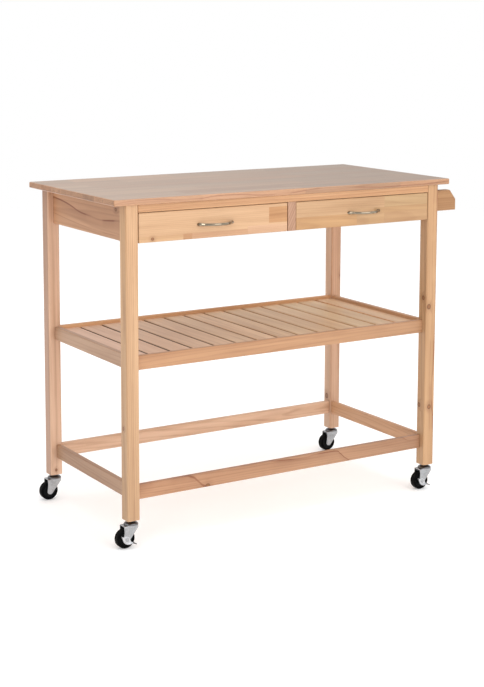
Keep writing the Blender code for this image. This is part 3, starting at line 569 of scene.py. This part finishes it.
# ---------------------------------------------------------------- small parts the solids leave out
def revolve(name, profile, centre, steps):
    """A turned piece from (radius, height) points, along +Y."""
    bm = bmesh.new()
    rings = []
    for r, h in profile:
        ring = []
        for i in range(steps if r > 0 else 1):
            a = math.tau * i / steps
            at = Vector((r * math.cos(a), h, r * math.sin(a)))
            ring.append(bm.verts.new(Vector(centre) + at))
        rings.append(ring)
    for a, b in zip(rings, rings[1:]):
        for i in range(steps):
            quad = [a[i % len(a)], a[(i + 1) % len(a)], b[(i + 1) % len(b)], b[i % len(b)]]
            face = list(dict.fromkeys(quad))
            if len(face) > 2:
                bm.faces.new(face)
    bmesh.ops.recalc_face_normals(bm, faces=bm.faces)
    mesh = bpy.data.meshes.new(name)
    bm.to_mesh(mesh)
    bm.free()
    mesh.shade_smooth()
    mesh.set_sharp_from_angle(angle=math.radians(35))
    obj = bpy.data.objects.new(name, mesh)
    SCENE.collection.objects.link(obj)
    return obj


SCREW = metal("screw_zinc", (0.70, 0.69, 0.64), 0.26, spots=0.2)
# half of a pan head with a round recess in its top, as (radius, height)
SCREW_HEAD = [(0, 0.0010), (0.0006, 0.0011), (0.0009, 0.0024), (0.0022, 0.0023), (0.0034, 0.0017),
              (0.0040, 0.0008), (0.0041, 0.0), (0, 0.0)]
POST = 0.0062      # from a handle's end to the middle of its post
OFF_WOOD = 0.00005
for side in ("left", "right"):
    lo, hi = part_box("drawer_%s_handle" % side)
    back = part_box("drawer_%s_front" % side)[1][1]
    for k, x in enumerate((lo[0] + POST, hi[0] - POST)):
        head = revolve("drawer_%s_screw_%d" % (side, k + 1), SCREW_HEAD,
                       (x, back + OFF_WOOD, (lo[2] + hi[2]) / 2), 24)
        head.data.materials.append(SCREW)
        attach(head, "drawer_" + side)

# ---------------------------------------------------------------- floor, light and camera
SKY_LOW, SKY_HIGH, SKY_DIM, SKY_EAST = 0.60, 1.34, 0.30, 0.62
FLOOR_SIZE, FLOOR_FADE, FLOOR_DROP = 60, (7.0, 2.2), 0.0002
bpy.ops.mesh.primitive_plane_add(size=FLOOR_SIZE)
floor = bpy.context.object
floor.name = "floor"
t = Tree("floor_paper")
paper = t.noise(t.coords(), 14.0, 4.0, 0.6)
near = t.span(t.vmath("LENGTH", t.coords(), out=1), *FLOOR_FADE)
tone = t.mix(paper, (0.915, 0.915, 0.915), (0.935, 0.935, 0.935))
floor.data.materials.append(t.finish(Base_Color=tone, Roughness=0.9, Specular_IOR_Level=0.1,
                                     Alpha=near, Emission_Color=(1.0, 1.0, 1.0),
                                     Emission_Strength=0.18))
floor.location.z = -FLOOR_DROP

# a white studio, brighter overhead and dimmer behind the camera and to the right, so that metal
# has contrast
world = bpy.data.worlds.new("studio")
SCENE.world = world
world.use_nodes = True
nt = world.node_tree
background = nt.nodes["Background"]


def sky(kind, links, **settings):
    n = nt.nodes.new(kind)
    for key, value in settings.items():
        setattr(n, key, value)
    for key, value in links.items():
        if isinstance(value, bpy.types.NodeSocket):
            nt.links.new(value, n.inputs[key])
        else:
            n.inputs[key].default_value = value
    return n.outputs


way = sky("ShaderNodeTexCoord", {})["Generated"]
glow = sky("ShaderNodeVectorMath", {0: way, 1: Vector((0.25, -0.45, 0.86)).normalized()},
           operation="DOT_PRODUCT")["Value"]
glow = sky("ShaderNodeMapRange", {0: glow, 1: -0.5, 2: 0.95, 3: SKY_LOW, 4: SKY_HIGH},
           interpolation_type="SMOOTHSTEP")[0]
level = sky("ShaderNodeVectorMath", {0: way, 1: (0, 0, 1)}, operation="DOT_PRODUCT")["Value"]
level = sky("ShaderNodeMath", {0: level}, operation="ABSOLUTE")[0]
level = sky("ShaderNodeMapRange", {0: level, 1: 0.10, 2: 0.42, 3: 1.0, 4: 0.0},
            interpolation_type="SMOOTHSTEP")[0]
behind = sky("ShaderNodeVectorMath", {0: way, 1: Vector((-0.35, -0.94, 0.0))},
             operation="DOT_PRODUCT")["Value"]
behind = sky("ShaderNodeMapRange", {0: behind, 1: 0.25, 2: 0.75, 3: 0.0, 4: 1.0},
             interpolation_type="SMOOTHSTEP")[0]
dim = sky("ShaderNodeMath", {0: level, 1: behind}, operation="MULTIPLY")[0]
glow = sky("ShaderNodeMix", {0: dim, 2: glow, 3: SKY_DIM}, data_type="FLOAT")[0]
east = sky("ShaderNodeVectorMath", {0: way, 1: Vector((0.90, 0.43, 0.0))},
           operation="DOT_PRODUCT")["Value"]
east = sky("ShaderNodeMapRange", {0: east, 1: 0.74, 2: 0.95, 3: 1.0, 4: SKY_EAST},
           interpolation_type="SMOOTHSTEP")[0]
glow = sky("ShaderNodeMath", {0: glow, 1: east}, operation="MULTIPLY")[0]
seen = sky("ShaderNodeLightPath", {})["Is Camera Ray"]
nt.links.new(sky("ShaderNodeMix", {0: seen, 2: glow, 3: 1.0}, data_type="FLOAT")[0],
             background.inputs["Strength"])
background.inputs["Color"].default_value = (1, 1, 1, 1)


def softbox(name, at, target, size, power):
    light = bpy.data.lights.new(name, "AREA")
    light.shape, light.size, light.size_y, light.energy = "RECTANGLE", size[0], size[1], power
    obj = bpy.data.objects.new(name, light)
    SCENE.collection.objects.link(obj)
    obj.location = at
    obj.rotation_euler = (Vector(target) - Vector(at)).to_track_quat("-Z", "Y").to_euler()


softbox("key", (0.6, -3.6, 1.35), (0, 0, 0.45), (3.0, 1.7), 36)
softbox("fill", (-3.2, -2.4, 1.5), (0, 0, 0.5), (0.8, 0.8), 11)

# camera: placed in metres about the cart's middle, which lies at MIDDLE in this frame
EYE, MIDDLE = (-2.1383, -3.4457, 1.2970), (-0.01715, 0.01075, 0.0)
YAW, PITCH, ROLL = 31.813, -7.398, 0.157
LENS, SENSOR, SHIFT_Y = 78.283, 36.0, -0.18
cam_data = bpy.data.cameras.new("camera")
camera = bpy.data.objects.new("camera", cam_data)
SCENE.collection.objects.link(camera)
SCENE.camera = camera
cam_data.lens, cam_data.sensor_width = LENS, SENSOR
cam_data.shift_x, cam_data.shift_y = 0.0, SHIFT_Y
yaw, pitch, roll = (math.radians(a) for a in (YAW, PITCH, ROLL))
ahead = Vector((math.sin(yaw) * math.cos(pitch), math.cos(yaw) * math.cos(pitch), math.sin(pitch)))
right = Vector((math.cos(yaw), -math.sin(yaw), 0.0))
up = right.cross(ahead)
right, up = (right * math.cos(roll) + up * math.sin(roll),
             up * math.cos(roll) - right * math.sin(roll))
place = Matrix((right, up, -ahead)).transposed().to_4x4()
place.translation = [e + m for e, m in zip(EYE, MIDDLE)]
camera.matrix_world = place
cam_data.clip_start, cam_data.clip_end = 0.05, 100.0
SCENE.view_settings.view_transform = "Standard"
